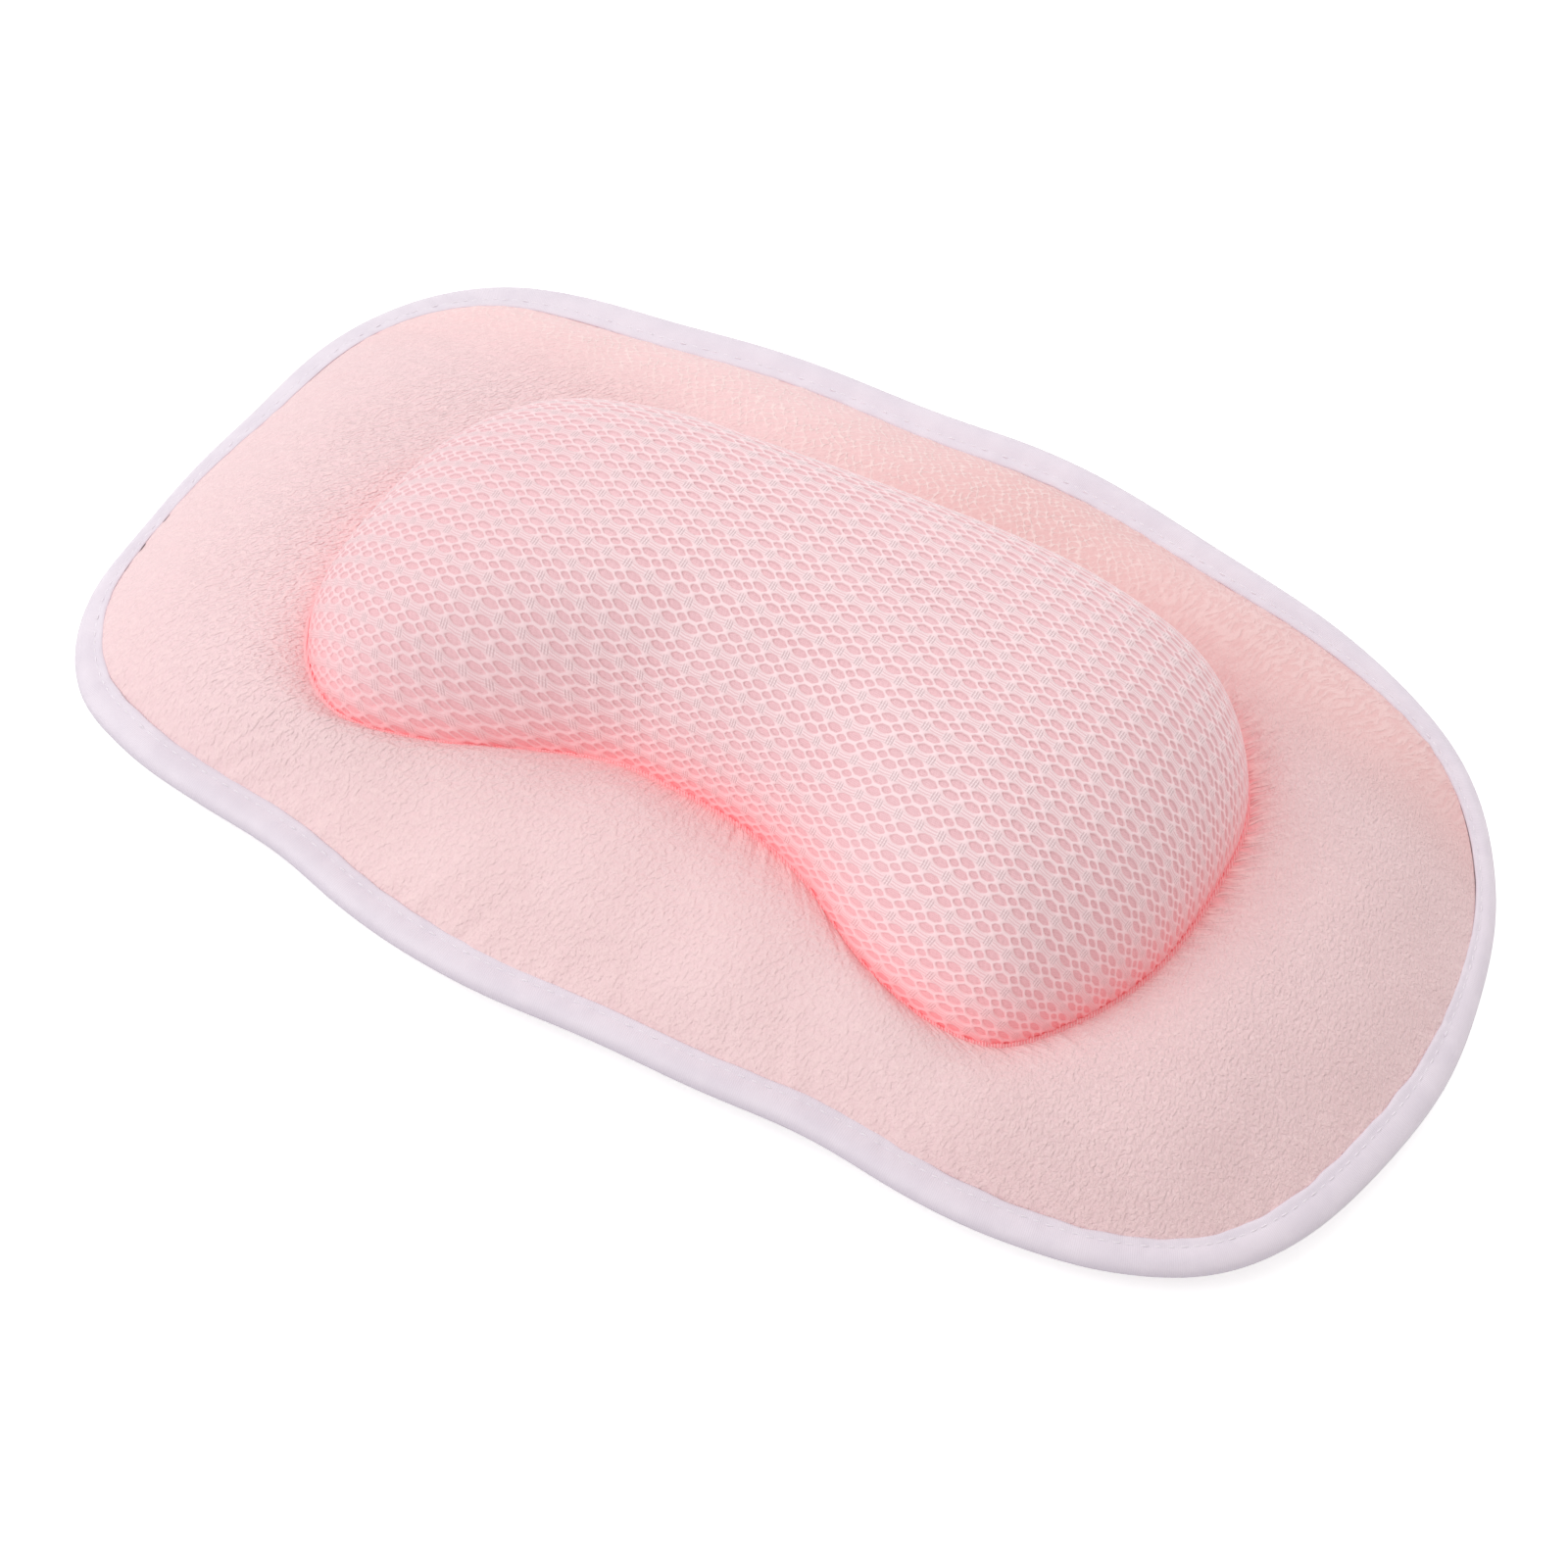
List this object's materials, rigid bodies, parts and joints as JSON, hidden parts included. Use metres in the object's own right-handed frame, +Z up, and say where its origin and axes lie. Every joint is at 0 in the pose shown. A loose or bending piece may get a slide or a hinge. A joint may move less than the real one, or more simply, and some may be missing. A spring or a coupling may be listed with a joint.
{
  "type": "bath pillow",
  "caption": "Soft oblong bath pillow with a bean shaped neck bolster under open net, taped edge and suction cups under its back.",
  "frame": {"origin": "on the plane of the suction cup lips, under the middle of the bounding box", "axes": "+X along the pillow's long side, +Y towards the straight back edge of the bolster, +Z up out of the resting surface"},
  "size_m": [0.3986, 0.261, 0.085],
  "materials": {
    "cover_knit": "matte",
    "wadding": "matte",
    "back_cloth": "matte",
    "binding_tape": "satin",
    "net": "matte",
    "ground_cloth": "matte",
    "foam": "matte",
    "panel_cloth": "matte",
    "clear_vinyl": "clear gloss",
    "patch_cloth": "satin",
    "washer_plastic": "matte"
  },
  "bodies": {
    "root": {"pad_top_cover": "cover_knit", "pad_wadding": "wadding", "pad_back_cover": "back_cloth", "edge_binding": "binding_tape", "bolster_net": "net", "bolster_ground_cloth": "ground_cloth", "bolster_core": "foam", "bolster_base_panel": "panel_cloth", "suction_cup_1": "clear_vinyl", "cup_patch_1": "patch_cloth", "cup_washer_1": "washer_plastic", "suction_cup_2": "clear_vinyl", "cup_patch_2": "patch_cloth", "cup_washer_2": "washer_plastic", "suction_cup_3": "clear_vinyl", "cup_patch_3": "patch_cloth", "cup_washer_3": "washer_plastic", "suction_cup_4": "clear_vinyl", "cup_patch_4": "patch_cloth", "cup_washer_4": "washer_plastic", "suction_cup_5": "clear_vinyl", "cup_patch_5": "patch_cloth", "cup_washer_5": "washer_plastic", "suction_cup_6": "clear_vinyl", "cup_patch_6": "patch_cloth", "cup_washer_6": "washer_plastic"}
  },
  "joints": []
}
